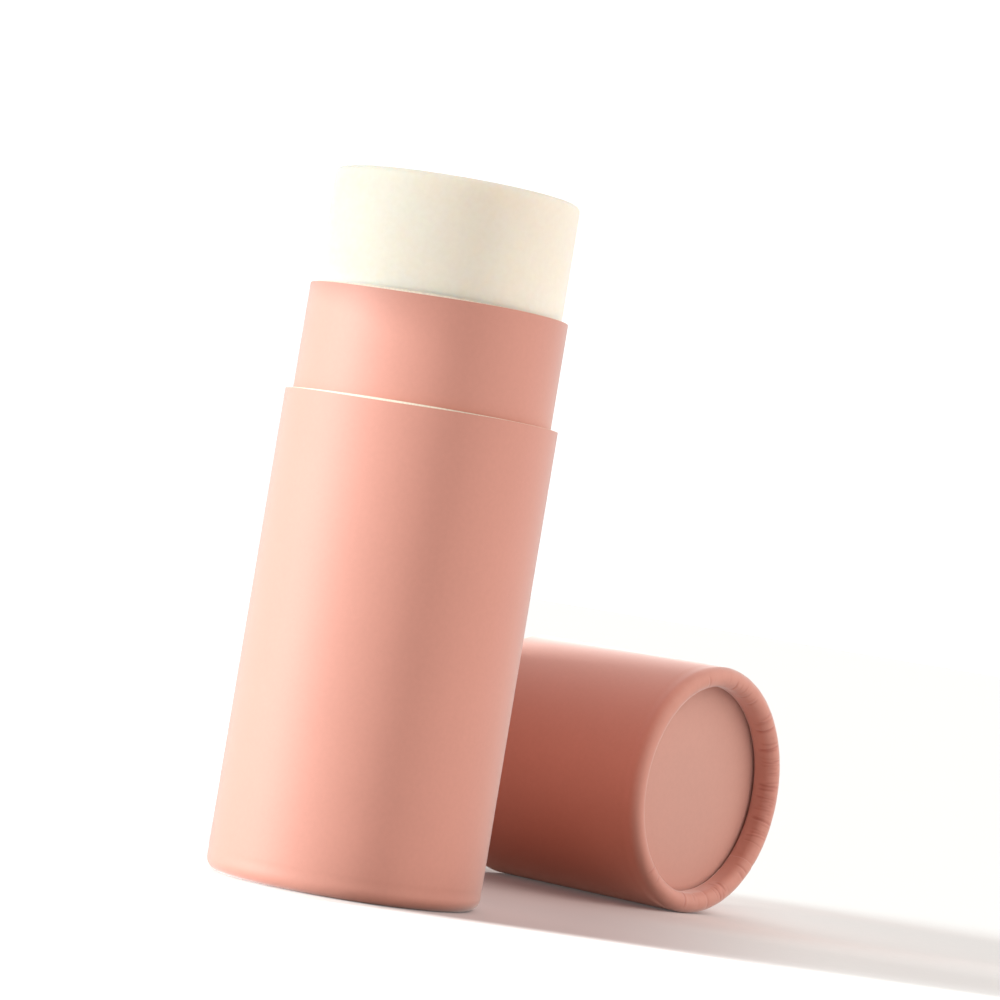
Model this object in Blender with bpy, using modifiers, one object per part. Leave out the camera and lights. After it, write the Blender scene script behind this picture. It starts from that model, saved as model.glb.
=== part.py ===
"""Cardboard push-up tube with a wax stick, standing open, and its cap lying on its side behind it.

Metres, +Z up. The origin is the middle of the set's footprint, on the surface that the set stands on.
"""

import math

import bpy

MM = 0.001

# Turning
SEGMENTS = 48
CORNER_STEPS = 4
LIP_STEPS = 4
FULL_TURN = math.tau
QUARTER_TURN = math.tau / 4
SHARP_ANGLE = math.radians(35)
MERGE_DISTANCE = 0.01 * MM

# Finished sizes of the tube
BODY_DIAMETER = 44.0 * MM
SLEEVE_LENGTH = 77.2 * MM
NECK_HEIGHT = 17.2 * MM

# Board, paper and the glue lines between them
SLEEVE_BOARD = 0.9 * MM
NECK_BOARD = 0.6 * MM
WRAP_THICKNESS = 0.2 * MM
LINER_THICKNESS = 0.12 * MM
GLUE_GAP = 0.05 * MM

# Curled foot of the sleeve
FOOT_LIP_CLEARANCE = 0.75 * MM
FOOT_LIP_HEIGHT = 1.4 * MM
FOOT_OUTER_CORNER_SHARE = 0.48
FOOT_LIP_CORNER_SHARE = 0.3

# Wax stick
STICK_LENGTH = 66.0 * MM
STICK_OUT = 19.3 * MM
STICK_CLEARANCE = 0.06 * MM
STICK_EDGE_RADIUS = 0.9 * MM
STICK_FOOT_CHAMFER = 0.4 * MM
CROWN_RISE = 0.5 * MM
CROWN_SHARES = (0.0, 0.4, 0.75)

# Piston under the stick
PISTON_CLEARANCE = 0.1 * MM
PUSH_DISC_THICKNESS = 1.5 * MM
COLLAR_HEIGHT = 4.5 * MM
COLLAR_WALL = 1.2 * MM
COVER_TURN_UP = 4.2 * MM
TOP_DISC_THICKNESS = 1.0 * MM
SEAL_THICKNESS = 0.15 * MM

# Cap
CAP_LENGTH = 41.8 * MM
CAP_FIT = 0.1 * MM
CAP_LINING_THICKNESS = 0.2 * MM
CAP_DISC_THICKNESS = 1.5 * MM
CAP_CURL_WIDTH = 3.6 * MM
CAP_CURL_CORNER_SHARE = 0.49
CAP_LIP_HEIGHT = 3.45 * MM

# Where the cap lies, measured from the tube's axis
CAP_BEHIND = 92.0 * MM
CAP_END_PAST_AXIS = 3.6 * MM

# Colours, as red, green and blue between 0 and 1, with roughness
PINK_PAPER = ((0.80, 0.47, 0.38), 0.6)
RAW_BOARD = ((0.86, 0.74, 0.64), 0.9)
GREASEPROOF = ((0.90, 0.84, 0.72), 0.45)
WHITE_PAPER = ((0.90, 0.88, 0.84), 0.8)
WAX = ((0.93, 0.88, 0.76), 0.45)

# Radii, from the outside in
body_radius = BODY_DIAMETER / 2
wrap_inset = WRAP_THICKNESS + GLUE_GAP
sleeve_bore = body_radius - wrap_inset - SLEEVE_BOARD
neck_radius = sleeve_bore - GLUE_GAP
inner_board_radius = neck_radius - wrap_inset
inner_board_bore = inner_board_radius - NECK_BOARD
liner_radius = inner_board_bore - GLUE_GAP
bore_radius = liner_radius - LINER_THICKNESS
stick_radius = bore_radius - STICK_CLEARANCE
piston_radius = bore_radius - PISTON_CLEARANCE

# Curled foot, as (lip radius, outer corner, lip corner, depth of the lip under the crest)
foot_fold = wrap_inset + SLEEVE_BOARD
foot_lip_radius = bore_radius - FOOT_LIP_CLEARANCE - foot_fold
foot_curl_width = body_radius - foot_lip_radius
foot_outer_corner = FOOT_OUTER_CORNER_SHARE * foot_curl_width
foot_lip_corner = FOOT_LIP_CORNER_SHARE * foot_curl_width
foot_curl = (foot_lip_radius, foot_outer_corner, foot_lip_corner, foot_fold + FOOT_LIP_HEIGHT)

# Heights of the tube
rim_height = SLEEVE_LENGTH + NECK_HEIGHT
inner_tube_foot = foot_fold + GLUE_GAP
stick_top = rim_height + STICK_OUT
stick_foot = stick_top - STICK_LENGTH

# Piston, measured down from the stick's foot
disc_radius = piston_radius - WRAP_THICKNESS - GLUE_GAP
piston_layers = (SEAL_THICKNESS, TOP_DISC_THICKNESS, COLLAR_HEIGHT, PUSH_DISC_THICKNESS, WRAP_THICKNESS)
piston_height = sum(piston_layers) + GLUE_GAP * len(piston_layers)
piston_foot = stick_foot - piston_height

# Cap
cap_lining_bore = neck_radius + CAP_FIT
cap_lining_radius = cap_lining_bore + CAP_LINING_THICKNESS
cap_board_bore = cap_lining_radius + GLUE_GAP
cap_board = body_radius - wrap_inset - cap_board_bore
cap_round_radius = cap_board_bore - GLUE_GAP
cap_curl_corner = CAP_CURL_CORNER_SHARE * CAP_CURL_WIDTH
cap_lip_depth = wrap_inset + cap_board + CAP_LIP_HEIGHT
cap_curl = (body_radius - CAP_CURL_WIDTH, cap_curl_corner, cap_curl_corner, cap_lip_depth)

# Places in the set
cap_open_end = CAP_END_PAST_AXIS - CAP_LENGTH
left_side = min(-body_radius, cap_open_end)
right_side = max(body_radius, CAP_END_PAST_AXIS)
tube_place = (-(left_side + right_side) / 2, -CAP_BEHIND / 2, 0)
cap_place = (tube_place[0] + cap_open_end, tube_place[1] + CAP_BEHIND, body_radius)


def clear_scene():
    for item in list(bpy.data.objects):
        bpy.data.objects.remove(item, do_unlink=True)


def new_collection(name):
    collection = bpy.data.collections.new(name)
    bpy.context.scene.collection.children.link(collection)
    return collection


def new_material(name, look):
    colour, roughness = look
    material = bpy.data.materials.new(name)
    material.use_nodes = True
    shader = material.node_tree.nodes["Principled BSDF"]
    shader.inputs["Base Color"].default_value = (*colour, 1)
    shader.inputs["Roughness"].default_value = roughness
    shader.inputs["Metallic"].default_value = 0
    material.diffuse_color = (*colour, 1)
    return material


def new_empty(name, collection, place, turn=(0, 0, 0)):
    empty = bpy.data.objects.new(name, None)
    empty.location = place
    empty.rotation_euler = turn
    empty.empty_display_size = body_radius
    collection.objects.link(empty)
    return empty


def turned(name, profile, ring, collection, parent, material, height=0):
    """Turns a profile of (radius, height) points about its own Z. A ring's profile is a closed loop."""
    last = len(profile) - 1
    edges = [(i, i + 1) for i in range(last)]
    if ring:
        edges.append((last, 0))
    mesh = bpy.data.meshes.new(name)
    mesh.from_pydata([(radius, 0, z) for radius, z in profile], edges, [])
    mesh.materials.append(material)
    piece = bpy.data.objects.new(name, mesh)
    collection.objects.link(piece)
    piece.parent = parent
    piece.location = (0, 0, height)
    screw = piece.modifiers.new("Turn", "SCREW")
    screw.angle = FULL_TURN
    screw.steps = SEGMENTS
    screw.render_steps = SEGMENTS
    screw.use_merge_vertices = True
    screw.merge_threshold = MERGE_DISTANCE
    with bpy.context.temp_override(object=piece):
        bpy.ops.object.modifier_apply(modifier=screw.name)
    piece.data.shade_smooth()
    piece.data.set_sharp_from_angle(angle=SHARP_ANGLE)
    return piece


def ring_profile(outer, inner, bottom, top):
    return [(outer, top), (outer, bottom), (inner, bottom), (inner, top)]


def round_profile(radius, bottom, top):
    return [(0, top), (radius, top), (radius, bottom), (0, bottom)]


def arc(centre, radius, start, end, steps):
    """Points of an arc, as (radius from the axis, depth), from one angle to another."""
    angles = [start + (end - start) * i / steps for i in range(steps + 1)]
    return [(centre[0] + radius * math.cos(a), centre[1] - radius * math.sin(a)) for a in angles]


def curl_face(inset, curl):
    """The curl's face from the wall to the end of the lip, as (radius, depth under the crest), set in by inset."""
    lip_radius, outer_corner, lip_corner, lip_depth = curl
    corner = (body_radius - outer_corner, outer_corner)
    lip = (lip_radius + lip_corner, lip_corner)
    face = arc(corner, outer_corner - inset, 0, QUARTER_TURN, CORNER_STEPS)
    face += arc(lip, lip_corner - inset, QUARTER_TURN, 2 * QUARTER_TURN, LIP_STEPS)
    return face + [(lip_radius + inset, lip_depth)]


def wrap_profile(length, curl):
    """Paper round a curled tube: down the wall from the open end, round the curl, and back inside it."""
    outside = [(body_radius, length)] + curl_face(0, curl)
    inside = [(body_radius - WRAP_THICKNESS, length)] + curl_face(WRAP_THICKNESS, curl)
    return outside + inside[::-1]


def board_profile(length, curl, board, bore):
    """Curled board tube: down its outer wall, round the curl, and back up inside the fold to the open end."""
    outside = [(body_radius - wrap_inset, length)] + curl_face(wrap_inset, curl)
    fold = wrap_inset + board
    fold_radius = curl[0] + fold
    return outside + [(fold_radius, curl[-1]), (fold_radius, fold), (bore, fold), (bore, length)]


def closed_end_up(profile, length):
    """Turns a profile measured from the curl's crest over, so that the crest is at the top."""
    return [(radius, length - depth) for radius, depth in reversed(profile)]


def make_tube(collection, axis, pink, board, greaseproof):
    sleeve = board_profile(SLEEVE_LENGTH, foot_curl, SLEEVE_BOARD, sleeve_bore)
    turned("outer_sleeve", sleeve, True, collection, axis, board)
    turned("sleeve_wrap", wrap_profile(SLEEVE_LENGTH, foot_curl), True, collection, axis, pink)
    inner_board = ring_profile(inner_board_radius, inner_board_bore, inner_tube_foot, rim_height)
    turned("inner_tube", inner_board, True, collection, axis, board)
    neck_paper = ring_profile(neck_radius, neck_radius - WRAP_THICKNESS, inner_tube_foot, rim_height)
    turned("neck_wrap", neck_paper, True, collection, axis, pink)
    liner = ring_profile(liner_radius, bore_radius, inner_tube_foot, rim_height)
    turned("inner_liner", liner, True, collection, axis, greaseproof)


def make_piston(collection, axis, pink, board, greaseproof):
    """The piston, from its paper cover up. Heights are from the cover's underside."""
    cover = [
        (0, WRAP_THICKNESS),
        (piston_radius - WRAP_THICKNESS, WRAP_THICKNESS),
        (piston_radius - WRAP_THICKNESS, COVER_TURN_UP),
        (piston_radius, COVER_TURN_UP),
        (piston_radius, 0),
        (0, 0),
    ]
    turned("push_cover", cover, False, collection, axis, pink)
    disc_foot = WRAP_THICKNESS + GLUE_GAP
    disc_top = disc_foot + PUSH_DISC_THICKNESS
    turned("push_disc", round_profile(disc_radius, disc_foot, disc_top), False, collection, axis, board)
    collar_foot = disc_top + GLUE_GAP
    collar_top = collar_foot + COLLAR_HEIGHT
    collar = ring_profile(disc_radius, disc_radius - COLLAR_WALL, collar_foot, collar_top)
    turned("piston_collar", collar, True, collection, axis, board)
    lid_foot = collar_top + GLUE_GAP
    lid_top = lid_foot + TOP_DISC_THICKNESS
    turned("piston_top_disc", round_profile(piston_radius, lid_foot, lid_top), False, collection, axis, board)
    seal_foot = lid_top + GLUE_GAP
    seal = round_profile(piston_radius, seal_foot, seal_foot + SEAL_THICKNESS)
    turned("seal_disc", seal, False, collection, axis, greaseproof)


def make_stick(collection, axis, wax):
    """The cast stick: a slightly crowned top, a rounded edge, a straight side and a chamfered foot."""
    crown_radius = stick_radius - STICK_EDGE_RADIUS
    edge_height = STICK_LENGTH - CROWN_RISE - STICK_EDGE_RADIUS
    crown = [(crown_radius * s, STICK_LENGTH - CROWN_RISE * s * s) for s in CROWN_SHARES]
    edge_centre = (crown_radius, -edge_height)
    edge = arc(edge_centre, STICK_EDGE_RADIUS, QUARTER_TURN, 0, CORNER_STEPS)
    side = [(radius, -depth) for radius, depth in edge]
    foot = [(stick_radius, STICK_FOOT_CHAMFER), (stick_radius - STICK_FOOT_CHAMFER, 0), (0, 0)]
    turned("wax_stick", crown + side + foot, False, collection, axis, wax, piston_height)


def make_cap(collection, axis, pink, board, white):
    """The cap, from its open end at zero to its closed end, along its own Z."""
    board_outline = board_profile(CAP_LENGTH, cap_curl, cap_board, cap_board_bore)
    turned("cap_sleeve", closed_end_up(board_outline, CAP_LENGTH), True, collection, axis, board)
    paper_outline = wrap_profile(CAP_LENGTH, cap_curl)
    turned("cap_wrap", closed_end_up(paper_outline, CAP_LENGTH), True, collection, axis, pink)
    top = CAP_LENGTH - cap_lip_depth - GLUE_GAP
    rounds = (
        ("cap_disc_cover", WRAP_THICKNESS, pink),
        ("cap_disc", CAP_DISC_THICKNESS, board),
        ("cap_lining_disc", CAP_LINING_THICKNESS, white),
    )
    for name, thickness, material in rounds:
        turned(name, round_profile(cap_round_radius, top - thickness, top), False, collection, axis, material)
        top -= thickness + GLUE_GAP
    lining = ring_profile(cap_lining_radius, cap_lining_bore, 0, top)
    turned("cap_lining", lining, True, collection, axis, white)


def main():
    clear_scene()
    collection = new_collection("cardboard_push_up_tube")
    pink = new_material("pink_paper", PINK_PAPER)
    board = new_material("raw_board", RAW_BOARD)
    greaseproof = new_material("greaseproof_paper", GREASEPROOF)
    white = new_material("white_paper", WHITE_PAPER)
    wax = new_material("wax", WAX)
    tube_axis = new_empty("tube_axis", collection, tube_place)
    push_axis = new_empty("push_up_axis", collection, (0, 0, piston_foot))
    push_axis.parent = tube_axis
    cap_axis = new_empty("cap_axis", collection, cap_place, (0, QUARTER_TURN, 0))
    make_tube(collection, tube_axis, pink, board, greaseproof)
    make_piston(collection, push_axis, pink, board, greaseproof)
    make_stick(collection, push_axis, wax)
    make_cap(collection, cap_axis, pink, board, white)
    bpy.context.view_layer.update()


main()
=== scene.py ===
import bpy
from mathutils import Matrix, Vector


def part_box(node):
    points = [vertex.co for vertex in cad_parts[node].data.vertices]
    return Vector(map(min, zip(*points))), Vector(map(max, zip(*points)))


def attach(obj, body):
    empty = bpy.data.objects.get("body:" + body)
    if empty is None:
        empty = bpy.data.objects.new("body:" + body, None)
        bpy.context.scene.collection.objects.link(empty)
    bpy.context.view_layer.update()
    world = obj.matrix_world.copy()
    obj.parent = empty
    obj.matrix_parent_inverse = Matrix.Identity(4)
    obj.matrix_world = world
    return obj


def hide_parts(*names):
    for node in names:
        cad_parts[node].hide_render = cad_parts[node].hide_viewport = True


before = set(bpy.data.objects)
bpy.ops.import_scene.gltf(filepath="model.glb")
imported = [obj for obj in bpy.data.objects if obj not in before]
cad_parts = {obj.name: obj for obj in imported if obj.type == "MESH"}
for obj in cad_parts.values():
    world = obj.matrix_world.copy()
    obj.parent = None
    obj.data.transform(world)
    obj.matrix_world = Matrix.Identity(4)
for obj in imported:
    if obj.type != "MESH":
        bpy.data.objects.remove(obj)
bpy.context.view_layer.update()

import math
import random

import bpy
from bpy.props import FloatProperty, FloatVectorProperty, IntProperty, PointerProperty
from mathutils import Matrix, Vector

bl_info = {
    "name": "Cardboard push-up tube",
    "version": (1, 0, 0),
    "blender": (4, 5, 0),
    "location": "3D View > Sidebar > Push-up tube",
    "description": "Papers, boards, wax and stage of a cardboard push-up tube with its cap taken off",
    "category": "Object",
}

MM = 0.001
TURN = math.tau
QUARTER = math.tau / 4
DOWN = -QUARTER
LYING = (0, QUARTER, 0)
NAMESPACE = "push_up_tube"
MERGE_DISTANCE = 0.001 * MM

# Points round each kind of turned piece
SLEEVE_SEGMENTS = 960
NECK_SEGMENTS = 720
CAP_SEGMENTS = 1200
BOARD_SEGMENTS = 480
SHEET_SEGMENTS = 360
STICK_SEGMENTS = 256

# Where the random draws for each curl's folds start
FOOT_SEED = 11
RIM_SEED = 23
# Share of the way across a curl over which a fold grows and fades
FOLD_FADE = 0.15
# Share of the glue line by which the bare board's edge stands back from the paper's face
BOARD_SETBACK = 0.4

FLOOR_WIDTH = 40
# Keeps the floor just clear of the faces that rest on it
FLOOR_DROP = 0.02 * MM
# The two places, in millimetres from the tube's axis, between which the shade on the sweep fades out: on the
# key's side, before the key's shadow, to the camera's right and behind the shadow
SHADE_BESIDE = (-24, 20)
SHADE_BEFORE = (19, 30)
SHADE_BEYOND = (36, 84)
SHADE_BEHIND = (62, 100)
# Gels that hold part of the light back: name, millimetres to the camera's right, towards it and up, lean in
# degrees, length and height in millimetres, and tint
GELS = (
    ("cap_gel", (2, -73, 14), -25, (88, 62), "#734336"),
    ("wax_scrim", (-40, 0, 134), 0, (80, 72), "#B5B5B5"),
    ("wax_gel", (60, 0, 160), 0, (100, 64), "#E0E0E0"),
)


def box_radius(node):
    """Half the width of a turned piece, upright or lying along X."""
    low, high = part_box(node)
    return (high.y - low.y) / 2


def middle(node):
    low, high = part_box(node)
    return (low + high) / 2


# Where the frame puts the pieces
TUBE_AXIS = Vector((*middle("sleeve_wrap").xy, 0))
SLEEVE_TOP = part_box("sleeve_wrap")[1].z
NECK_FOOT, RIM_TOP = (corner.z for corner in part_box("neck_wrap"))
STICK_FOOT, STICK_TOP = (corner.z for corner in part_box("wax_stick"))
CAP_OPEN_END, CAP_CREST = (corner.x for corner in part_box("cap_wrap"))
CAP_LENGTH = CAP_CREST - CAP_OPEN_END
CAP_PLACE = Vector((CAP_OPEN_END, *middle("cap_wrap").yz))
CAP_RECESS = CAP_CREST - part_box("cap_disc_cover")[1].x
BODY_RADIUS = box_radius("sleeve_wrap")
NECK_RADIUS = box_radius("neck_wrap")
STICK_RADIUS = box_radius("wax_stick")


def linear(code):
    """Turns an sRGB hex colour, such as #E8A794, to linear red, green, blue and alpha."""
    values = [int(code[i:i + 2], 16) / 255 for i in (1, 3, 5)]
    return (*[v / 12.92 if v <= 0.04045 else ((v + 0.055) / 1.055) ** 2.4 for v in values], 1)


def length(name, description, default):
    """A length property, whose default is given in millimetres."""
    return FloatProperty(name=name, description=description, default=default * MM, unit="LENGTH", precision=5)


def colour(name, description, code):
    """A colour property, whose default is given as an sRGB hex colour."""
    return FloatVectorProperty(
        name=name, description=description, default=linear(code)[:3], size=3, min=0, max=1, subtype="COLOR"
    )


def angle(name, description, default):
    """An angle property, whose default is given in degrees."""
    return FloatProperty(name=name, description=description, default=math.radians(default), unit="ROTATION")


def fraction(name, description, default):
    return FloatProperty(name=name, description=description, default=default, min=0, max=1, subtype="FACTOR")


class PaperSizes(bpy.types.PropertyGroup):
    thickness: length("Thickness", "Printed wrap with its film", 0.2)
    print_colour: colour("Print colour", "Pink of the printed wrap", "#D19080")
    # Painted sheen: the disc's pink is the print's pink made paler and greyer, as the disc looks in a whitish
    # sheen
    disc_painted_sheen_colour: colour("Disc colour with painted sheen", "Pink of the cap's disc, made paler and greyer as painted sheen", "#D09A8C")
    # Painted shade: the folds are coloured a darker pink, as they look in shade
    fold_painted_shade_colour: colour("Fold shade colour", "Darker pink painted in the folds as shade", "#B4675A")
    bare: length("Bare board", "Board left bare above a wrap's cut edge", 0.04)
    dip: length("Dip", "How much lower a wrap's cut edge runs where it dips", 0.3)
    dip_place: angle("Dip's place", "From the front to the middle of the dip", -15)
    dip_reach: angle("Dip's reach", "From the middle of the dip to its end", 62)
    lap_step: length("Lap step", "Drop of the surface beside the wrap's lapped edge", 0.09)
    lap_fade: length("Lap fade", "Width over which the drop beside the lap levels out", 4.0)
    sleeve_lap: angle("Lap of the sleeve", "From the front to the lap of the sleeve's and neck's wraps", 171)
    cap_lap: angle("Lap of the cap", "From the lowest line of the cap to its wrap's lap", 52)


class FootSizes(bpy.types.PropertyGroup):
    width: length("Width", "From the outer wall to the lip's face", 4.12)
    corner: length("Outer corner", "Radius of the outer shoulder", 1.98)
    lip_corner: length("Lip corner", "Radius where the curl turns inwards", 1.24)
    depth: length("Lip depth", "From the crest to the end of the lip", 2.55)
    lip_flare: length("Lip flare", "Radius at the end of the lip", 0.4)
    groove: length("Groove depth", "Soft groove that the curling die leaves beside the bead", 0.05)
    groove_width: length("Groove width", "From the bead to the far side of the groove", 2.2)
    folds: IntProperty(name="Folds", description="Small folds where the paper rounds the curl", default=30)
    fold_depth: length("Fold depth", "Deepest fold", 0.05)
    reach: fraction("Folds' reach", "How far the folds run from the lip to the outer wall", 0.6)


class RimSizes(bpy.types.PropertyGroup):
    width: length("Width", "From the outer wall to the lip's face", 3.6)
    corner: length("Outer corner", "Radius of the outer shoulder", 1.764)
    lip_corner: length("Lip corner", "Radius where the curl turns inwards", 1.764)
    depth: length("Lip depth", "From the crest to the end of the lip", CAP_RECESS / MM - 0.1)
    lip_flare: length("Lip flare", "Radius at the end of the lip", 0.58)
    groove: length("Groove depth", "Soft groove that the curling die leaves beside the bead", 0.06)
    groove_width: length("Groove width", "From the bead to the far side of the groove", 2.6)
    folds: IntProperty(name="Folds", description="Small folds where the paper rounds the curl", default=84)
    fold_depth: length("Fold depth", "Deepest fold", 0.1)
    reach: fraction("Folds' reach", "How far the folds run from the lip to the outer wall", 0.78)


class BoardSizes(bpy.types.PropertyGroup):
    board_colour: colour("Board colour", "Raw wound board", "#F1E2CF")
    ply: length("Ply", "Thickness of one wound ply", 0.3)
    edge_round: length("Edge round", "Radius of the cut edges", 0.03)
    gap: length("Glue line", "Between paper and board", 0.05)


class WaxSizes(bpy.types.PropertyGroup):
    wax_colour: colour("Wax colour", "Cast wax", "#F7EEE1")
    edge: length("Edge radius", "Rounded top edge of the stick", 0.9)
    crown: length("Crown", "Rise of the top's middle", 0.5)
    chamfer: length("Foot chamfer", "Bevel of the stick's foot", 0.4)


class StageSizes(bpy.types.PropertyGroup):
    azimuth: angle("View azimuth", "Round the set, from its front", 38.41)
    pitch: angle("View pitch", "Upwards", 1.2)
    roll: angle("View roll", "Tilt of the camera", 9.45)
    across: length("Camera across", "To the right of the tube's axis", 14.65)
    ahead: length("Camera ahead", "In front of the tube's axis", 637.2)
    rise: length("Camera rise", "Above the tube's foot", 51.8)
    lens: FloatProperty(name="Lens", description="Focal length in mm on a 36 mm sensor", default=144.0)
    key_power: FloatProperty(name="Key power", description="Strength of the key light", default=5.7)
    key_tint: colour("Key tint", "Colour of the key light", "#F3FBFB")
    key_azimuth: angle("Key azimuth", "From over the camera to its right", -76)
    key_height: angle("Key height", "Above the floor", 10)
    key_spread: angle("Key spread", "Width of the lamp, seen from the object", 16)
    fill_power: FloatProperty(name="Fill power", description="Strength of the fill light", default=2.05)
    fill_tint: colour("Fill tint", "Colour of the fill light", "#FFF5ED")
    fill_azimuth: angle("Fill azimuth", "From over the camera to its right", 72)
    fill_height: angle("Fill height", "Above the floor", 36)
    fill_spread: angle("Fill spread", "Width of the lamp, seen from the object", 62)


SETTINGS = (
    ("paper", PaperSizes),
    ("foot", FootSizes),
    ("rim", RimSizes),
    ("board", BoardSizes),
    ("wax", WaxSizes),
    ("stage", StageSizes),
)


def settings(group):
    return getattr(bpy.context.scene, f"{NAMESPACE}_{group}")


def facing():
    """The turn that brings the front of an upright piece to the camera."""
    return (0, 0, settings("stage").azimuth)


def add_node(tree, kind, values=None, inputs=None):
    """Adds a node, sets its values, and sets or links its inputs."""
    node = tree.nodes.new(kind)
    for name, value in (values or {}).items():
        setattr(node, name, value)
    for name, value in (inputs or {}).items():
        if isinstance(value, bpy.types.NodeSocket):
            tree.links.new(value, node.inputs[name])
        else:
            node.inputs[name].default_value = value
    return node


def new_material(name):
    """An empty Principled material: its tree, its shader and a socket with the object's coordinates."""
    material = bpy.data.materials.new(name)
    material.use_nodes = True
    tree = material.node_tree
    place = add_node(tree, "ShaderNodeTexCoord").outputs["Object"]
    return material, tree, tree.nodes["Principled BSDF"], place


def shaded(tone, share):
    """A colour made darker or lighter by a share, or by one share for each of red, green and blue."""
    shares = (share,) * 3 if isinstance(share, (int, float)) else share
    return (*[min(1, c * s) for c, s in zip(tone, shares)], 1)


def set_ramp(ramp, low, low_tone, high, high_tone):
    """Sets the two ends of a colour ramp."""
    for end, (position, tone) in zip(ramp.color_ramp.elements, ((low, low_tone), (high, high_tone))):
        end.position = position
        end.color = tone


def set_shader(shader, values):
    for name, value in values.items():
        shader.inputs[name].default_value = value


def printed_paper(name="laminated_art_paper_offset_printed", print_or_sheen_colour="print_colour"):
    """Coated art paper, offset printed and laminated with a soft-touch matte film.

    The film gives a low, even sheen. The fibres below it show as a faint mottle. The folds are painted a
    darker pink, as painted shade, and the cap's disc a paler, greyer pink, as painted sheen.
    """
    if name in bpy.data.materials:
        return bpy.data.materials[name]
    material, tree, shader, place = new_material(name)
    base = getattr(settings("paper"), print_or_sheen_colour)
    # Fibre clumps are about 0.3 mm, drawn at 0.7 mm so that they show
    fibre = add_node(
        tree, "ShaderNodeTexNoise", inputs={"Vector": place, "Scale": 1 / (0.7 * MM), "Detail": 3}
    )
    cloud = add_node(tree, "ShaderNodeTexNoise", inputs={"Vector": place, "Scale": 1 / (9 * MM), "Detail": 2})
    fine = add_node(tree, "ShaderNodeMath", {"operation": "MULTIPLY"}, {0: fibre.outputs[0], 1: 0.6})
    both = add_node(
        tree, "ShaderNodeMath", {"operation": "MULTIPLY_ADD"},
        {0: cloud.outputs[0], 1: 0.4, 2: fine.outputs[0]}
    )
    tone = add_node(tree, "ShaderNodeValToRGB", inputs={"Fac": both.outputs[0]})
    set_ramp(tone, 0.25, shaded(base, 0.97), 0.75, shaded(base, 1.03))
    # Painted shade: where the 'fold' attribute is set, the pink is mixed towards the darker fold pink
    fold = add_node(tree, "ShaderNodeAttribute", {"attribute_name": "fold"})
    fold_shade = add_node(
        tree, "ShaderNodeMix", {"data_type": "RGBA"},
        {"Factor": fold.outputs["Fac"], "A": tone.outputs[0], "B": (*settings("paper").fold_painted_shade_colour, 1)}
    )
    tree.links.new(fold_shade.outputs["Result"], shader.inputs["Base Color"])
    set_shader(shader, {
        "Roughness": 0.62, "Specular IOR Level": 0.5, "Sheen Weight": 0.75, "Sheen Roughness": 0.4,
    })
    # Orange peel of the film, about 0.4 mm
    peel = add_node(
        tree, "ShaderNodeTexNoise", inputs={"Vector": place, "Scale": 1 / (0.4 * MM), "Detail": 2}
    )
    bump = add_node(
        tree, "ShaderNodeBump", inputs={"Height": peel.outputs[0], "Strength": 0.25, "Distance": 0.012 * MM}
    )
    tree.links.new(bump.outputs[0], shader.inputs["Normal"])
    return material


def wound_board(name, axis, centre):
    """Bleached paperboard, spiral wound from plies and cut square: fibrous and matte, its plies faint rings.

    The rings run round the given axis through the centre.
    """
    if name in bpy.data.materials:
        return bpy.data.materials[name]
    material, tree, shader, place = new_material(name)
    board = settings("board")
    centred = add_node(tree, "ShaderNodeMapping", inputs={"Vector": place, "Location": -Vector(centre)})
    # A ring wave turns once in a twentieth of a turn of its input
    ply = add_node(
        tree, "ShaderNodeTexWave", {"wave_type": "RINGS", "rings_direction": axis},
        {"Vector": centred.outputs[0], "Scale": TURN / (20 * board.ply), "Distortion": 1.2, "Detail": 2}
    )
    fibre = add_node(
        tree, "ShaderNodeTexNoise", inputs={"Vector": place, "Scale": 1 / (0.35 * MM), "Detail": 5}
    )
    height = add_node(
        tree, "ShaderNodeMath", {"operation": "MULTIPLY_ADD"},
        {0: ply.outputs["Fac"], 1: 0.3, 2: fibre.outputs[0]}
    )
    tone = add_node(tree, "ShaderNodeValToRGB", inputs={"Fac": height.outputs[0]})
    set_ramp(tone, 0.35, shaded(board.board_colour, 0.8), 0.75, shaded(board.board_colour, 1))
    tree.links.new(tone.outputs[0], shader.inputs["Base Color"])
    set_shader(shader, {"Roughness": 0.88, "Specular IOR Level": 0.3})
    bump = add_node(
        tree, "ShaderNodeBump", inputs={"Height": height.outputs[0], "Strength": 0.5, "Distance": 0.04 * MM}
    )
    tree.links.new(bump.outputs[0], shader.inputs["Normal"])
    return material


def tube_board():
    return wound_board("wound_board_tube", "Z", TUBE_AXIS)


def cap_board():
    return wound_board("wound_board_cap", "X", CAP_PLACE)


def greaseproof(name="glassine_liner_calendered"):
    """Glassine, calendered smooth, so that it is faintly glossy, and clouded by the wax in it."""
    if name in bpy.data.materials:
        return bpy.data.materials[name]
    material, tree, shader, place = new_material(name)
    cloud = add_node(
        tree, "ShaderNodeTexNoise", inputs={"Vector": place, "Scale": 1 / (1.4 * MM), "Detail": 4}
    )
    tone = add_node(tree, "ShaderNodeValToRGB", inputs={"Fac": cloud.outputs[0]})
    set_ramp(tone, 0.3, linear("#DCCFB6"), 0.7, linear("#F2E8D3"))
    tree.links.new(tone.outputs[0], shader.inputs["Base Color"])
    set_shader(shader, {"Roughness": 0.38})
    bump = add_node(
        tree, "ShaderNodeBump", inputs={"Height": cloud.outputs[0], "Strength": 0.2, "Distance": 0.05 * MM}
    )
    tree.links.new(bump.outputs[0], shader.inputs["Normal"])
    return material


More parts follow.
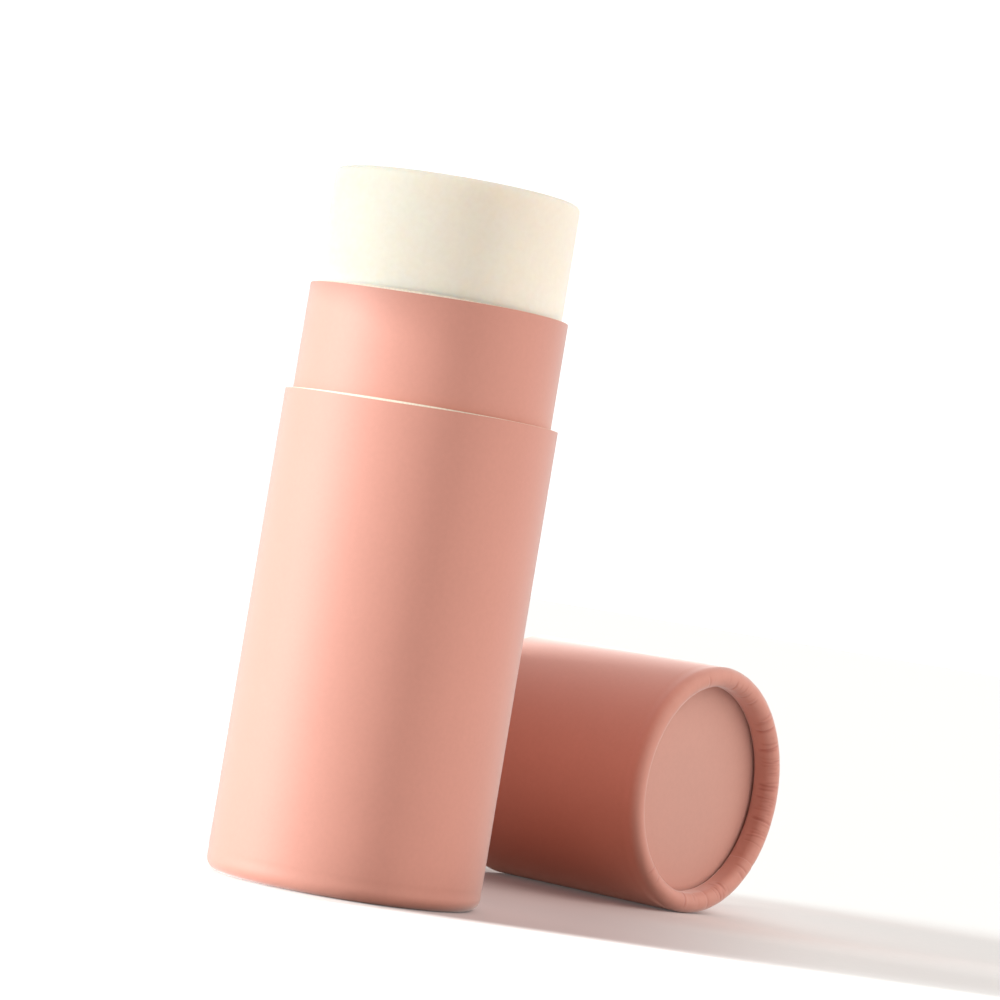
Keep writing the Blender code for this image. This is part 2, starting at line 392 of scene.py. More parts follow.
def lining_paper(name="white_lining_paper_uncoated"):
    """Uncoated white paper, felt side out, so that it is soft and matte with a fine tooth."""
    if name in bpy.data.materials:
        return bpy.data.materials[name]
    material, tree, shader, place = new_material(name)
    tooth = add_node(
        tree, "ShaderNodeTexNoise", inputs={"Vector": place, "Scale": 1 / (0.5 * MM), "Detail": 5}
    )
    tone = add_node(tree, "ShaderNodeValToRGB", inputs={"Fac": tooth.outputs[0]})
    set_ramp(tone, 0.3, linear("#E6E0D6"), 0.7, linear("#F8F5EE"))
    tree.links.new(tone.outputs[0], shader.inputs["Base Color"])
    set_shader(shader, {"Roughness": 0.85})
    bump = add_node(
        tree, "ShaderNodeBump", inputs={"Height": tooth.outputs[0], "Strength": 0.4, "Distance": 0.03 * MM}
    )
    tree.links.new(bump.outputs[0], shader.inputs["Normal"])
    return material


def cast_wax(name="plant_wax_poured"):
    """Plant waxes and oils, poured hot: light sinks in, and fine crystals mottle the skin."""
    if name in bpy.data.materials:
        return bpy.data.materials[name]
    material, tree, shader, place = new_material(name)
    base = settings("wax").wax_colour
    crystal = add_node(
        tree, "ShaderNodeTexNoise", inputs={"Vector": place, "Scale": 1 / (0.9 * MM), "Detail": 5}
    )
    cloud = add_node(tree, "ShaderNodeTexNoise", inputs={"Vector": place, "Scale": 1 / (7 * MM), "Detail": 2})
    both = add_node(
        tree, "ShaderNodeMath", {"operation": "MULTIPLY_ADD"},
        {0: cloud.outputs[0], 1: 0.6, 2: crystal.outputs[0]}
    )
    tone = add_node(tree, "ShaderNodeValToRGB", inputs={"Fac": both.outputs[0]})
    set_ramp(tone, 0.6, shaded(base, (0.975, 0.968, 0.96)), 1.0, shaded(base, 1))
    tree.links.new(tone.outputs[0], shader.inputs["Base Color"])
    set_shader(shader, {
        "Roughness": 0.55, "IOR": 1.44, "Specular IOR Level": 0.2, "Subsurface Weight": 1.0,
        "Subsurface Radius": (1.0, 0.82, 0.62), "Subsurface Scale": 2.6 * MM,
    })
    bump = add_node(
        tree, "ShaderNodeBump", inputs={"Height": crystal.outputs[0], "Strength": 0.2, "Distance": 0.06 * MM}
    )
    tree.links.new(bump.outputs[0], shader.inputs["Normal"])
    return material


def arc(centre, radius, start, end, steps):
    """Points of an arc in (radius, height), from one angle to another."""
    angles = [start + (end - start) * i / steps for i in range(steps + 1)]
    return [(centre[0] + radius * math.cos(a), centre[1] + radius * math.sin(a)) for a in angles]


def run(start, end, steps):
    """Points along a straight run, without its first point."""
    return [tuple(s + (e - s) * i / steps for s, e in zip(start, end)) for i in range(1, steps + 1)]


def curl_face(inset, curl, steps):
    """The curl's face as (radius, depth under its crest), from the outer wall to the end of the lip."""
    lip = BODY_RADIUS - curl.width
    face = arc((BODY_RADIUS - curl.corner, curl.corner), curl.corner - inset, 0, DOWN, steps)
    face += arc((lip + curl.lip_corner, curl.lip_corner), curl.lip_corner - inset, DOWN, 2 * DOWN, steps)
    flare = curl.lip_flare
    end = curl.depth - inset
    face += run(face[-1], (lip + inset, end - flare), steps // 2)
    return face + arc((lip + inset + flare, end - flare), flare, 2 * QUARTER, QUARTER, 4)[1:]


def groove_run(curl, steps=12):
    """The wall across the groove beside the bead, from its far side to the bead, as (radius, depth)."""
    points = []
    for i in range(steps):
        share = i / steps
        radius = BODY_RADIUS - curl.groove * math.sin(math.pi * share) ** 2
        points.append((radius, curl.corner + curl.groove_width * (1 - share)))
    return points


def wrap_profile(cut, curl):
    """Paper round a curled tube: down the wall from its cut edge, round the curl and back inside it."""
    groove = groove_run(curl)
    outside = [(BODY_RADIUS, cut)]
    outside += run(outside[0], groove[0], 6)[:-1] + groove + curl_face(0, curl, 12)
    thickness = settings("paper").thickness
    inside = curl_face(thickness, curl, 4)[::-1]
    return outside + inside + [(BODY_RADIUS - thickness, cut)]


def board_profile(bore, length, curl):
    """Curled board tube, whose bare cut edge comes out over the end of the paper and is slightly rounded."""
    board = settings("board")
    edge = board.edge_round
    inset = settings("paper").thickness + board.gap
    fold = BODY_RADIUS - bore
    lip = BODY_RADIUS - curl.width + fold
    outer = BODY_RADIUS - BOARD_SETBACK * board.gap
    cut = length - settings("paper").bare
    profile = [(BODY_RADIUS - inset, cut - board.gap)]
    profile += curl_face(inset, curl, 6)
    profile += [(lip, curl.depth - inset), (lip, fold), (bore, fold)]
    profile += arc((bore + edge, length - edge), edge, 2 * QUARTER, QUARTER, 3)
    profile += arc((outer - edge, length - edge), edge, QUARTER, 0, 3)
    return profile + [(outer, cut), (BODY_RADIUS - inset, cut)]


def up_from_crest(profile, length):
    """Turns a profile over, so that its curl's crest is at the top."""
    return [(radius, length - height) for radius, height in profile]


def select_points(piece, wanted):
    """In edit mode, selects the points whose place passes a test, and the edges between them."""
    bpy.ops.mesh.select_all(action="DESELECT")
    bpy.ops.object.mode_set(mode="OBJECT")
    found = {vertex.index for vertex in piece.data.vertices if wanted(vertex.co)}
    for edge in piece.data.edges:
        edge.select = edge.vertices[0] in found and edge.vertices[1] in found
    for index in found:
        piece.data.vertices[index].select = True
    bpy.ops.object.mode_set(mode="EDIT")


def turn_profile(name, profile, segments, closed):
    """Turns a profile of (radius, height) points: a ring of edges is extruded and resized along it.

    A closed profile comes back to its first point. An open one is closed at both ends with a fan to the axis.
    """
    bpy.ops.object.select_all(action="DESELECT")
    first, height = profile[0]
    bpy.ops.mesh.primitive_circle_add(vertices=segments, radius=first, location=(0, 0, height))
    piece = bpy.context.object
    piece.name = name
    piece.data.name = name
    bpy.ops.object.mode_set(mode="EDIT")
    if not closed:
        bpy.ops.mesh.extrude_edges_move()
        bpy.ops.mesh.merge(type="CENTER")
        select_points(piece, lambda place: place.xy.length > first / 2)
    radius = first
    for new_radius, new_height in profile[1:] + (profile[:1] if closed else []):
        bpy.ops.mesh.extrude_edges_move(TRANSFORM_OT_translate={"value": (0, 0, new_height - height)})
        share = new_radius / radius
        bpy.ops.transform.resize(value=(share, share, 1), center_override=(0, 0, new_height))
        radius, height = new_radius, new_height
    if not closed:
        bpy.ops.mesh.extrude_edges_move()
        bpy.ops.mesh.merge(type="CENTER")
    bpy.ops.mesh.select_all(action="SELECT")
    bpy.ops.mesh.remove_doubles(threshold=MERGE_DISTANCE)
    bpy.ops.mesh.normals_make_consistent(inside=False)
    bpy.ops.object.mode_set(mode="OBJECT")
    bpy.ops.object.transform_apply(location=True, rotation=True, scale=True)
    return piece


def make_active(piece):
    bpy.ops.object.select_all(action="DESELECT")
    piece.select_set(True)
    bpy.context.view_layer.objects.active = piece


def finish_piece(piece, place, turn, material, body, replaced, smooth=math.radians(32)):
    """Puts a piece that was made about the origin in its place, and gives it its finish and body."""
    make_active(piece)
    piece.location = place
    piece.rotation_euler = turn
    bpy.ops.object.transform_apply(location=True, rotation=True, scale=True)
    bpy.ops.object.shade_smooth_by_angle(angle=smooth)
    piece.data.materials.clear()
    piece.data.materials.append(material)
    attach(piece, body)
    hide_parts(replaced)


def finish_node(node, material):
    """Gives a piece of the frame that shows as it is its finish."""
    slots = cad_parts[node].data.materials
    slots.clear()
    slots.append(material)


def press(piece, name, weights, depth, direction="NORMAL"):
    """Presses a piece's surface in, or down an axis, by a depth where a point's weight is 1."""
    group = piece.vertex_groups.new(name=name)
    for index, weight in weights.items():
        group.add([index], weight, "REPLACE")
    displace = piece.modifiers.new(name, "DISPLACE")
    displace.vertex_group = name
    displace.direction = direction
    displace.mid_level = 0
    displace.strength = -depth
    make_active(piece)
    bpy.ops.object.modifier_apply(modifier=name)
    piece.vertex_groups.remove(piece.vertex_groups[name])


def dip_cut(piece, height, direction, middle):
    """Lets a wrap's cut edge dip at one side, because the sheet was fed a little out of square.

    direction is 1 where the edge looks up and -1 where it looks down, and middle is the dip's place in the
    turn.
    """
    paper = settings("paper")
    weights = {}
    for vertex in piece.data.vertices:
        under = (height - vertex.co.z) * direction
        if -MERGE_DISTANCE < under < 1.2 * settings("board").gap:
            off = abs((math.atan2(vertex.co.y, vertex.co.x) - middle + math.pi) % TURN - math.pi)
            if off < paper.dip_reach:
                weights[vertex.index] = math.cos(QUARTER * off / paper.dip_reach) ** 2
    press(piece, "dip", weights, paper.dip * direction, "Z")


def skin_points(piece, crest, direction, curl):
    """The points of a wrap's outer skin, as index, angle, radius and depth under the curl's crest.

    direction is 1 where the curl looks up and -1 where it looks down.
    """
    shoulder = BODY_RADIUS - curl.corner
    lip = BODY_RADIUS - curl.width
    fold = lip + curl.lip_corner
    skin = settings("paper").thickness / 2
    found = []
    for vertex in piece.data.vertices:
        radius = vertex.co.xy.length
        depth = (crest - vertex.co.z) * direction
        if depth >= curl.corner:
            outer = not lip + skin < radius < BODY_RADIUS - skin
        elif radius >= shoulder:
            outer = math.hypot(radius - shoulder, curl.corner - depth) > curl.corner - skin
        elif radius <= fold:
            outer = math.hypot(fold - radius, max(0, curl.lip_corner - depth)) > curl.lip_corner - skin
        else:
            outer = depth < skin
        if outer:
            found.append((vertex.index, math.atan2(vertex.co.y, vertex.co.x), radius, depth))
    return found


def press_lap(piece, points, start):
    """Drops the surface beside the wrap's lapped edge, from where it levels out again."""
    paper = settings("paper")
    weights = {}
    for index, place, radius, _ in points:
        off = (place - start) % TURN * radius
        if off < paper.lap_fade:
            weights[index] = (1 - off / paper.lap_fade) ** 2
    press(piece, "lap", weights, paper.lap_step)


def random_folds(chance, count, reach, crowd):
    """Small folds, each with its place, width, strength, start and end across the curl, lean and steep side.

    They crowd round one place in the turn, near the lap, where the paper is doubled. Across the curl, 0 is
    where it meets the lip's face and 1 where it meets the outer wall.
    """
    return [
        (
            chance.gauss(crowd, 0.95),
            chance.uniform(0.08, 0.18) * MM,
            chance.uniform(0.3, 1) ** 2,
            chance.uniform(-0.3, 0.25),
            chance.uniform(0.55, 1) * reach,
            chance.uniform(-0.7, 0.7) * MM,
            chance.choice((-1, 1)),
        )
        for _ in range(count)
    ]


def fold_at(folds, place, radius, across):
    """How deep the folds are at a point of the curl, and how high the ridges on their steep sides."""
    valley = ridge = 0
    for centre, width, strength, start, end, lean, steep in folds:
        off = ((place - centre + math.pi) % TURN - math.pi) * radius - lean * across
        if abs(off) < 6 * width and start < across < end:
            side = off * steep
            spread = width if side > 0 else 2.2 * width
            fade = strength * min(1, (across - start) / FOLD_FADE, (end - across) / FOLD_FADE)
            valley = max(valley, fade * math.exp(-((off / spread) ** 2)))
            ridge = max(ridge, fade * math.exp(-(((side - 3 * width) / (1.5 * width)) ** 2)))
    return valley, ridge


def press_folds(piece, points, curl, crowd, seed):
    """Presses small radial folds into the curl, whose face is a little uneven besides."""
    chance = random.Random(seed)
    folds = random_folds(chance, curl.folds, curl.reach, crowd)
    waves = [(chance.randint(8, 45), chance.uniform(0, TURN)) for _ in range(6)]
    bead = BODY_RADIUS - curl.width / 2
    pressed, fold_shade = {}, {}
    end = curl.depth - curl.lip_flare
    for index, place, radius, depth in points:
        if depth < curl.corner:
            across = 1 - math.atan2(curl.corner - depth, radius - bead) / math.pi
        elif radius < bead and depth < end:
            across = (curl.corner - depth) / (math.pi * curl.corner)
        else:
            continue
        fade = max(0, min(1, (end - depth) / curl.lip_flare, (1 - across) / FOLD_FADE))
        valley, ridge = fold_at(folds, place, radius, across)
        # The plain face is pressed by a quarter of the deepest fold, so that ridges can stand over it
        uneven = 0.25 + 0.04 * sum(math.sin(count * place + phase) for count, phase in waves)
        pressed[index] = fade * min(1, max(0, uneven + 0.75 * valley - 0.25 * ridge))
        # The 'fold' attribute says how much painted shade each point of a fold gets
        if valley > 0.01:
            fold_shade[index] = 0.7 * valley
    press(piece, "folds", pressed, curl.fold_depth)
    values = [fold_shade.get(i, 0) for i in range(len(piece.data.vertices))]
    piece.data.attributes.new("fold", "FLOAT", "POINT").data.foreach_set("value", values)
    piece.data.update()


class MakeSleeve(bpy.types.Operator):
    """Makes the sleeve's printed wrap and the curled board tube inside it"""

    bl_idname = "push_up_tube.sleeve"
    bl_label = "Sleeve"

    def execute(self, context):
        paper, foot = settings("paper"), settings("foot")
        cut = SLEEVE_TOP - paper.bare
        dip = DOWN + paper.dip_place
        wrap = turn_profile("sleeve_paper", wrap_profile(cut, foot), SLEEVE_SEGMENTS, True)
        dip_cut(wrap, cut, 1, dip)
        points = skin_points(wrap, 0, -1, foot)
        press_folds(wrap, points, foot, DOWN + paper.sleeve_lap, FOOT_SEED)
        press_lap(wrap, points, DOWN + paper.sleeve_lap)
        finish_piece(wrap, TUBE_AXIS, facing(), printed_paper(), "tube", "sleeve_wrap")
        bore = NECK_RADIUS + settings("board").gap
        board = turn_profile("sleeve_board", board_profile(bore, SLEEVE_TOP, foot), BOARD_SEGMENTS, True)
        dip_cut(board, cut, 1, dip)
        finish_piece(board, TUBE_AXIS, facing(), tube_board(), "tube", "outer_sleeve")
        return {"FINISHED"}


class MakeNeck(bpy.types.Operator):
    """Makes the neck's printed wrap, the inner board tube that carries it and the liner of its bore"""

    bl_idname = "push_up_tube.neck"
    bl_label = "Neck"

    def execute(self, context):
        self.make_wrap()
        self.make_board()
        self.make_liner()
        return {"FINISHED"}

    def make_wrap(self):
        paper = settings("paper")
        cut = RIM_TOP - paper.bare
        inner = NECK_RADIUS - paper.thickness
        sheet = [(NECK_RADIUS, cut)] + run((NECK_RADIUS, cut), (NECK_RADIUS, NECK_FOOT), 10)
        sheet += [(inner, NECK_FOOT), (inner, cut)]
        wrap = turn_profile("neck_paper", sheet, NECK_SEGMENTS, True)
        dip_cut(wrap, cut, 1, DOWN + paper.dip_place)
        points = [
            (vertex.index, math.atan2(vertex.co.y, vertex.co.x), NECK_RADIUS, 0)
            for vertex in wrap.data.vertices if vertex.co.xy.length > (NECK_RADIUS + inner) / 2
        ]
        press_lap(wrap, points, DOWN + paper.sleeve_lap)
        finish_piece(wrap, TUBE_AXIS, facing(), printed_paper(), "tube", "neck_wrap")

    def make_board(self):
        board = settings("board")
        edge = board.edge_round
        paper = settings("paper")
        cut = RIM_TOP - paper.bare
        outer = box_radius("inner_tube")
        bore = box_radius("inner_liner") + board.gap
        lip = NECK_RADIUS - BOARD_SETBACK * board.gap
        profile = [(outer, cut - board.gap), (outer, NECK_FOOT), (bore, NECK_FOOT)]
        profile += arc((bore + edge, RIM_TOP - edge), edge, 2 * QUARTER, QUARTER, 3)
        profile += arc((lip - edge, RIM_TOP - edge), edge, QUARTER, 0, 3)
        profile += [(lip, cut), (outer, cut)]
        core = turn_profile("neck_board", profile, BOARD_SEGMENTS, True)
        dip_cut(core, cut, 1, DOWN + paper.dip_place)
        finish_piece(core, TUBE_AXIS, facing(), tube_board(), "tube", "inner_tube")

    def make_liner(self):
        outer = box_radius("inner_liner")
        inner = STICK_RADIUS + settings("board").gap
        skin = [(outer, RIM_TOP), (outer, NECK_FOOT), (inner, NECK_FOOT)]
        skin += run((inner, NECK_FOOT), (inner, RIM_TOP), 8)
        lining = turn_profile("bore_liner", skin, SHEET_SEGMENTS, True)
        finish_piece(lining, TUBE_AXIS, facing(), greaseproof(), "tube", "inner_liner")


class MakeStick(bpy.types.Operator):
    """Makes the cast wax stick"""

    bl_idname = "push_up_tube.stick"
    bl_label = "Wax stick"

    def execute(self, context):
        wax = settings("wax")
        flat = STICK_RADIUS - wax.edge
        edge_centre = STICK_TOP - wax.crown - wax.edge
        rings = 14
        shares = [(i + 1) / (rings + 1) for i in range(rings)]
        profile = [(flat * s, STICK_TOP - wax.crown * s * s) for s in shares]
        profile += arc((flat, edge_centre), wax.edge, QUARTER, 0, 10)
        profile += run((STICK_RADIUS, edge_centre), (STICK_RADIUS, STICK_FOOT + wax.chamfer), 40)
        profile += [(STICK_RADIUS - wax.chamfer, STICK_FOOT), (STICK_RADIUS / 2, STICK_FOOT)]
        stick = turn_profile("stick", profile, STICK_SEGMENTS, False)
        finish_piece(stick, TUBE_AXIS, facing(), cast_wax(), "push_up", "wax_stick", math.radians(40))
        return {"FINISHED"}


class MakePiston(bpy.types.Operator):
    """Makes the piston's paper cover, and finishes the boards and the greaseproof round above it"""

    bl_idname = "push_up_tube.piston"
    bl_label = "Piston"

    def execute(self, context):
        low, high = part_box("push_cover")
        radius = box_radius("push_cover")
        floor = low.z + settings("paper").thickness
        inner = radius - settings("paper").thickness
        corner = 0.3 * MM
        profile = [(inner / 2, floor), (inner, floor), (inner, high.z), (radius, high.z)]
        profile += arc((radius - corner, low.z + corner), corner, 0, DOWN, 4) + [(radius / 2, low.z)]
        cover = turn_profile("piston_paper", profile, SHEET_SEGMENTS, False)
        finish_piece(cover, TUBE_AXIS, facing(), printed_paper(), "push_up", "push_cover")
        for node in ("push_disc", "piston_collar", "piston_top_disc"):
            finish_node(node, tube_board())
        finish_node("seal_disc", greaseproof())
        return {"FINISHED"}


class MakeCap(bpy.types.Operator):
    """Makes the cap's printed wrap, its curled board tube, its end papers and its white lining"""

    bl_idname = "push_up_tube.cap"
    bl_label = "Cap"

    def execute(self, context):
        self.make_wrap()
        self.make_board()
        # Painted sheen: the disc's paper is a copy of the printed paper with a paler, greyer pink
        disc_sheen_paper = printed_paper("laminated_art_paper_offset_printed_disc", "disc_painted_sheen_colour")
        for name, node, material, slot in (
            ("cap_end_paper", "cap_disc_cover", disc_sheen_paper, "pink_paper"),
            ("cap_end_lining", "cap_lining_disc", lining_paper(), "white_paper"),
        ):
            self.make_round(name, node, material, slot)
        self.make_lining()
        finish_node("cap_disc", cap_board())
        return {"FINISHED"}

    def make_wrap(self):
        paper, rim = settings("paper"), settings("rim")
        profile = up_from_crest(wrap_profile(CAP_LENGTH - paper.bare, rim), CAP_LENGTH)
        wrap = turn_profile("cap_paper", profile, CAP_SEGMENTS, True)
        dip_cut(wrap, paper.bare, -1, 2 * QUARTER)
        points = skin_points(wrap, CAP_LENGTH, 1, rim)
        press_folds(wrap, points, rim, QUARTER, RIM_SEED)
        press_lap(wrap, points, paper.cap_lap)
        finish_piece(wrap, CAP_PLACE, LYING, printed_paper(), "cap", "cap_wrap")

    def make_board(self):
        bore = box_radius("cap_lining") + settings("board").gap
        profile = up_from_crest(board_profile(bore, CAP_LENGTH, settings("rim")), CAP_LENGTH)
        core = turn_profile("cap_board", profile, BOARD_SEGMENTS, True)
        dip_cut(core, settings("paper").bare, -1, 2 * QUARTER)
        finish_piece(core, CAP_PLACE, LYING, cap_board(), "cap", "cap_sleeve")

    def make_round(self, name, node, material, slot):
        """A paper round, whose edge is drawn down a little where the curl presses on it."""
        low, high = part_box(node)
        top, foot = high.x - CAP_PLACE.x, low.x - CAP_PLACE.x
        radius = box_radius(node)
        pressed = BODY_RADIUS - settings("rim").width
        drop = 0.7 * (top - foot)
        soft = 1.6 * MM
        flat = pressed - soft
        profile = [(flat * share, top) for share in (0.35, 0.7, 1)]
        profile += [(flat + soft * share, top - drop * share ** 3) for share in (0.3, 0.5, 0.7, 0.85, 1)]
        profile += [(radius, top - drop), (radius, foot), (radius / 2, foot)]
        piece = turn_profile(name, profile, SHEET_SEGMENTS, False)
        finish_piece(piece, CAP_PLACE, LYING, material, "cap", node)

    def make_lining(self):
        outer = box_radius("cap_lining")
        inner = outer - settings("paper").thickness
        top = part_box("cap_lining")[1].x - CAP_PLACE.x
        skin = [(outer, top), (outer, 0), (inner, 0)] + run((inner, 0), (inner, top), 8)
        lining = turn_profile("cap_lining_paper", skin, SHEET_SEGMENTS, True)
        finish_piece(lining, CAP_PLACE, LYING, lining_paper(), "cap", "cap_lining")


def view_side():
    """The camera's right and the way from the object to it, both level."""
    azimuth = settings("stage").azimuth
    right = Vector((math.cos(azimuth), math.sin(azimuth), 0))
    return right, Vector((right.y, -right.x, 0))


def stage_place(across, ahead, up):
    """A place beside the tube's foot, in millimetres to the camera's right, towards it and up."""
    right, near = view_side()
    return TUBE_AXIS + (right * across + near * ahead + Vector((0, 0, up))) * MM


def add_sun(name):
    """A broad, far lamp, from the stage's values of that name."""
    stage = settings("stage")
    side, height, spread, power, tint = (
        getattr(stage, f"{name}_{value}") for value in ("azimuth", "height", "spread", "power", "tint")
    )
    right, near = view_side()
    towards = (right * math.sin(side) + near * math.cos(side)) * math.cos(height)
    towards.z = math.sin(height)
    data = bpy.data.lights.new(name, "SUN")
    data.energy = power
    data.angle = spread
    data.color = tint
    lamp = bpy.data.objects.new(name, data)
    bpy.context.scene.collection.objects.link(lamp)
    lamp.location = towards
    lamp.rotation_euler = towards.to_track_quat("Z", "Y").to_euler()


def surface_output(tree, shader):
    """Removes the first shader and gives the material's output."""
    tree.nodes.remove(shader)
    return next(node for node in tree.nodes if node.type == "OUTPUT_MATERIAL").inputs["Surface"]


def seen_or_mirrored(tree):
    """1 for what the camera sees, straight or in a gloss, and 0 for light that falls on the object."""
    path = add_node(tree, "ShaderNodeLightPath")
    return add_node(
        tree, "ShaderNodeMath", {"operation": "MAXIMUM"},
        {0: path.outputs["Is Camera Ray"], 1: path.outputs["Is Glossy Ray"]}
    ).outputs[0]


def sweep_share(tree, place, way, first, last):
    """Grows from 0 to 1 along a way over the sweep, between two places in millimetres from the tube."""
    along = add_node(tree, "ShaderNodeVectorMath", {"operation": "DOT_PRODUCT"}, {0: place, 1: way})
    start = TUBE_AXIS.dot(way)
    return add_node(
        tree, "ShaderNodeMapRange", {"interpolation_type": "SMOOTHSTEP"},
        {"Value": along.outputs["Value"], "From Min": start + first * MM, "From Max": start + last * MM}
    ).outputs[0]


def paper_sweep():
    """Seamless white paper sweep, which keeps the shadow.

    To the camera and in reflections it glows, as painted light, where the key lights it: on the key's side,
    and before the shadow that the key throws, which paints that shadow's near edge. In the shade between tube
    and cap it shows a painted pinkish-grey shadow, and throws back at the object a dark painted shade instead
    of light.
    """
    material, tree, shader, place = new_material("white_paper_sweep")
    right, near = view_side()
    key = settings("stage").key_azimuth
    output = surface_output(tree, shader)
    grain = add_node(tree, "ShaderNodeTexNoise", inputs={"Vector": place, "Scale": 1 / (2 * MM)})
    tone = add_node(tree, "ShaderNodeValToRGB", inputs={"Fac": grain.outputs[0]})
    set_ramp(tone, 0, linear("#E9E9E8"), 1, linear("#EDEDEC"))
    lane = right * math.cos(key) - near * math.sin(key)
    beside = sweep_share(tree, place, -right, *SHADE_BESIDE)
    before = sweep_share(tree, place, lane, *SHADE_BEFORE)
    beyond = sweep_share(tree, place, right, *SHADE_BEYOND)
    behind = sweep_share(tree, place, -lane, *SHADE_BEHIND)
    bright = add_node(tree, "ShaderNodeMath", {"operation": "MAXIMUM"}, {0: beside, 1: before}).outputs[0]
    lit_back = add_node(tree, "ShaderNodeMath", {"operation": "MAXIMUM"}, {0: bright, 1: beyond}).outputs[0]
    clear = add_node(tree, "ShaderNodeMath", {"operation": "MAXIMUM"}, {0: lit_back, 1: behind}).outputs[0]
    # What the paper throws back at the object, with a dark painted shade between tube and cap, and what it
    # shows
    thrown_painted_shade = add_node(
        tree, "ShaderNodeMix", {"data_type": "RGBA"},
        {"Factor": lit_back, "A": linear("#77665A"), "B": tone.outputs[0]}
    )
    # Painted shadow: to the camera the paper shows a pinkish grey in the shade between tube and cap
    seen = add_node(
        tree, "ShaderNodeMix", {"data_type": "RGBA"},
        {"Factor": clear, "A": linear("#C3B1AF"), "B": tone.outputs[0]}
    )
    shown = seen_or_mirrored(tree)
    sheet = add_node(
        tree, "ShaderNodeMix", {"data_type": "RGBA"},
        {"Factor": shown, "A": thrown_painted_shade.outputs["Result"], "B": seen.outputs["Result"]}
    )
    lit = add_node(tree, "ShaderNodeBsdfDiffuse", inputs={"Color": sheet.outputs["Result"]})
    # Painted light: the glow is strongest where the key lights the paper, and nearly gone in its shade
    lift = add_node(tree, "ShaderNodeMath", {"operation": "MULTIPLY_ADD"}, {0: bright, 1: 0.34, 2: 0.06})
    shine = add_node(tree, "ShaderNodeMath", {"operation": "MULTIPLY"}, {0: shown, 1: lift.outputs[0]})
    glow = add_node(tree, "ShaderNodeEmission", inputs={"Color": (1, 1, 1, 1), "Strength": shine.outputs[0]})
    both = add_node(tree, "ShaderNodeAddShader", inputs={0: lit.outputs[0], 1: glow.outputs[0]})
    tree.links.new(both.outputs[0], output)
    return material


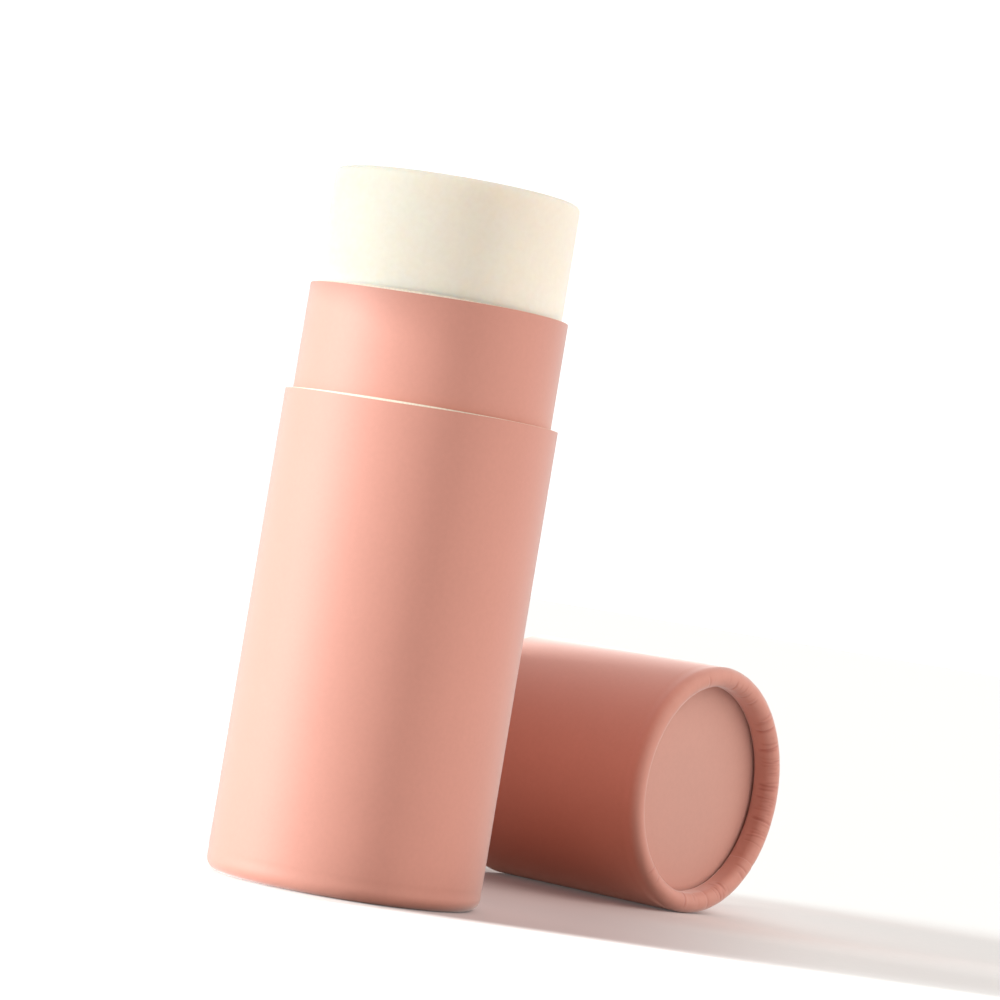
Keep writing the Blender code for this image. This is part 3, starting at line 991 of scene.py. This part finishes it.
class MakeStage(bpy.types.Operator):
    """Makes the floor, the light and the camera"""

    bl_idname = "push_up_tube.stage"
    bl_label = "Stage"

    def execute(self, context):
        self.make_floor()
        self.make_world()
        add_sun("key")
        add_sun("fill")
        for gel in GELS:
            self.make_gel(*gel)
        self.make_camera()
        context.scene.view_settings.view_transform = "Standard"
        return {"FINISHED"}

    def make_floor(self):
        bpy.ops.object.select_all(action="DESELECT")
        bpy.ops.mesh.primitive_plane_add(size=FLOOR_WIDTH, location=(0, 0, -FLOOR_DROP))
        floor = bpy.context.object
        floor.name = "floor"
        bpy.ops.object.transform_apply(location=True, rotation=True, scale=True)
        floor.data.materials.append(paper_sweep())

    def make_gel(self, name, place, lean, size, tint):
        """A see-through gel, which stands along the way to the camera and isn't seen itself."""
        near = view_side()[1]
        turn = (QUARTER, math.radians(lean), math.atan2(near.y, near.x))
        bpy.ops.object.select_all(action="DESELECT")
        bpy.ops.mesh.primitive_plane_add(size=1, location=stage_place(*place), rotation=turn)
        gel = bpy.context.object
        gel.name = name
        gel.dimensions = (size[0] * MM, size[1] * MM, 0)
        bpy.ops.object.transform_apply(location=True, rotation=True, scale=True)
        material, tree, shader, _ = new_material(name)
        output = surface_output(tree, shader)
        sheet = add_node(tree, "ShaderNodeBsdfTransparent", inputs={"Color": linear(tint)})
        tree.links.new(sheet.outputs[0], output)
        gel.data.materials.append(material)
        gel.visible_camera = False
        gel.visible_glossy = False

    def make_world(self):
        """White to the camera and in gloss; the light it gives comes from the backdrop behind the object."""
        world = bpy.data.worlds.new("white_studio")
        world.use_nodes = True
        bpy.context.scene.world = world
        tree = world.node_tree
        near = view_side()[1]
        way = add_node(tree, "ShaderNodeTexCoord").outputs["Generated"]
        behind = add_node(tree, "ShaderNodeVectorMath", {"operation": "DOT_PRODUCT"}, {0: way, 1: -near})
        backdrop = add_node(
            tree, "ShaderNodeMapRange", {"interpolation_type": "SMOOTHSTEP"},
            {
                "Value": behind.outputs["Value"],
                "From Min": -0.1, "From Max": 0.5, "To Min": 0.1, "To Max": 1.15,
            }
        )
        strength = add_node(
            tree, "ShaderNodeMath", {"operation": "MAXIMUM"},
            {0: backdrop.outputs[0], 1: seen_or_mirrored(tree)}
        )
        background = tree.nodes["Background"]
        background.inputs["Color"].default_value = (1, 1, 1, 1)
        tree.links.new(strength.outputs[0], background.inputs["Strength"])

    def make_camera(self):
        stage = settings("stage")
        data = bpy.data.cameras.new("camera")
        data.lens = stage.lens
        data.sensor_width = 36
        data.clip_start = 0.01
        data.clip_end = 50
        camera = bpy.data.objects.new("camera", data)
        bpy.context.scene.collection.objects.link(camera)
        place = stage_place(stage.across / MM, stage.ahead / MM, stage.rise / MM)
        turn = Matrix.Rotation(stage.azimuth, 4, "Z")
        tilt = Matrix.Rotation(QUARTER + stage.pitch, 4, "X")
        roll = Matrix.Rotation(stage.roll, 4, "Z")
        camera.matrix_world = Matrix.Translation(place) @ turn @ tilt @ roll
        bpy.context.scene.camera = camera


OPERATORS = (MakeSleeve, MakeNeck, MakeStick, MakePiston, MakeCap, MakeStage)


class TubePanel(bpy.types.Panel):
    """Sizes, colours and steps of the push-up tube"""

    bl_idname = "VIEW3D_PT_push_up_tube"
    bl_label = "Push-up tube"
    bl_space_type = "VIEW_3D"
    bl_region_type = "UI"
    bl_category = "Push-up tube"

    def draw(self, context):
        for name, group in SETTINGS:
            box = self.layout.box()
            for field in group.__annotations__:
                box.prop(settings(name), field)
        for operator in OPERATORS:
            self.layout.operator(operator.bl_idname)


def register():
    for name, group in SETTINGS:
        bpy.utils.register_class(group)
        setattr(bpy.types.Scene, f"{NAMESPACE}_{name}", PointerProperty(type=group))
    for item in (*OPERATORS, TubePanel):
        bpy.utils.register_class(item)


def unregister():
    for item in (TubePanel, *reversed(OPERATORS)):
        bpy.utils.unregister_class(item)
    for name, group in reversed(SETTINGS):
        delattr(bpy.types.Scene, f"{NAMESPACE}_{name}")
        bpy.utils.unregister_class(group)


def main():
    register()
    for operator in OPERATORS:
        group, name = operator.bl_idname.split(".")
        getattr(getattr(bpy.ops, group), name)()


if __name__ == "__main__":
    main()
